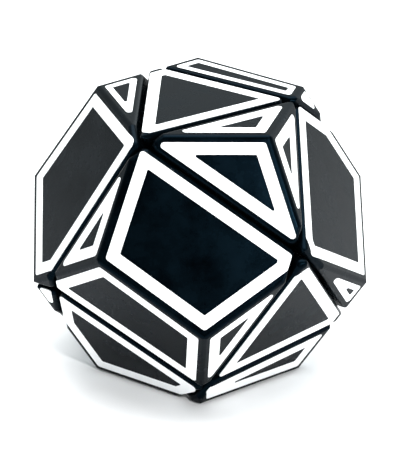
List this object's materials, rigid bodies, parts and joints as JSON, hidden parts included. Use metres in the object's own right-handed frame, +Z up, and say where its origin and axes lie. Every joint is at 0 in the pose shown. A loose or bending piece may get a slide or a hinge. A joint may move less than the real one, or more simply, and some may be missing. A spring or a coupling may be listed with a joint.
{
  "type": "dodecahedron twisty puzzle",
  "caption": "Black dodecahedron puzzle with white outlined tiles; deep slanted cuts let one half turn on a spring-loaded ball core",
  "frame": {"origin": "centre of the pentagonal face that the puzzle rests on", "axes": "+Z up, square to the resting face; the face that looks at the viewer faces -Y and slants up; +X to the viewer's right"},
  "size_m": [0.0822, 0.0866, 0.07],
  "materials": {
    "shell_black": "glossy injection-moulded ABS, lightly rounded edges",
    "outline_white": "smooth white inlaid strip",
    "foot_plastic": "satin moulded plastic",
    "core_plastic": "natural white nylon",
    "screw_steel": "zinc-plated steel",
    "spring_steel": "drawn spring wire"
  },
  "bodies": {
    "root": {"core_spider": "core_plastic", "core_ball_upper": "core_plastic", "core_ball_lower": "core_plastic", "arm_screws": "screw_steel", "screw_washers": "screw_steel", "front_pivot_spring": "spring_steel", "top_pivot_spring": "spring_steel", "rear_pivot_spring": "spring_steel", "left_pivot_spring": "spring_steel", "back_free_corner_foot": "foot_plastic", "back_free_corner_shell": "shell_black", "back_free_corner_outline": "outline_white", "left_square_foot": "foot_plastic", "left_square_shell": "shell_black", "left_square_outline": "outline_white", "rear_top_square_foot": "foot_plastic", "rear_top_square_shell": "shell_black", "rear_top_square_outline": "outline_white", "rear_bottom_square_foot": "foot_plastic", "rear_bottom_square_shell": "shell_black", "rear_bottom_square_outline": "outline_white"},
    "front_half": {"upper_free_corner_foot": "foot_plastic", "upper_free_corner_shell": "shell_black", "upper_free_corner_outline": "outline_white", "lower_free_corner_foot": "foot_plastic", "lower_free_corner_shell": "shell_black", "lower_free_corner_outline": "outline_white", "right_free_corner_foot": "foot_plastic", "right_free_corner_shell": "shell_black", "right_free_corner_outline": "outline_white", "front_square_foot": "foot_plastic", "front_square_shell": "shell_black", "front_square_outline": "outline_white", "right_square_foot": "foot_plastic", "right_square_shell": "shell_black", "right_square_outline": "outline_white", "bottom_square_foot": "foot_plastic", "bottom_square_shell": "shell_black", "bottom_square_outline": "outline_white"},
    "front_pivot_corner": {"front_pivot_corner_foot": "foot_plastic", "front_pivot_corner_shell": "shell_black", "front_pivot_corner_outline": "outline_white"},
    "top_pivot_corner": {"top_pivot_corner_foot": "foot_plastic", "top_pivot_corner_shell": "shell_black", "top_pivot_corner_outline": "outline_white"},
    "rear_pivot_corner": {"rear_pivot_corner_foot": "foot_plastic", "rear_pivot_corner_shell": "shell_black", "rear_pivot_corner_outline": "outline_white"},
    "left_pivot_corner": {"left_pivot_corner_foot": "foot_plastic", "left_pivot_corner_shell": "shell_black", "left_pivot_corner_outline": "outline_white"}
  },
  "joints": [
    {"name": "front_half_turn", "type": "hinge", "parent": "root", "child": "front_half", "pos_m": [0.0037, 0.0041, 0.03415], "axis": [0.4914, -0.7988, -0.3469], "continuous": true},
    {"name": "front_pivot_float", "type": "slide", "parent": "front_half", "child": "front_pivot_corner", "axis": [0.4914, -0.7988, -0.3469], "range_m": [0, 0.0005], "stiffness_N_per_m": 1500, "springref_m": -0.0012, "deforming": ["front_pivot_spring"]},
    {"name": "rear_pivot_float", "type": "slide", "parent": "root", "child": "rear_pivot_corner", "axis": [0.5322, 0.8258, -0.1868], "range_m": [0, 0.0005], "stiffness_N_per_m": 1500, "springref_m": -0.0012, "deforming": ["rear_pivot_spring"]},
    {"name": "top_pivot_float", "type": "slide", "parent": "root", "child": "top_pivot_corner", "axis": [-0.1345, -0.0939, 0.9865], "range_m": [0, 0.0005], "stiffness_N_per_m": 1500, "springref_m": -0.0012, "deforming": ["top_pivot_spring"]},
    {"name": "left_pivot_float", "type": "slide", "parent": "root", "child": "left_pivot_corner", "axis": [-0.8891, 0.0669, -0.4527], "range_m": [0, 0.0005], "stiffness_N_per_m": 1500, "springref_m": -0.0012, "deforming": ["left_pivot_spring"]}
  ]
}
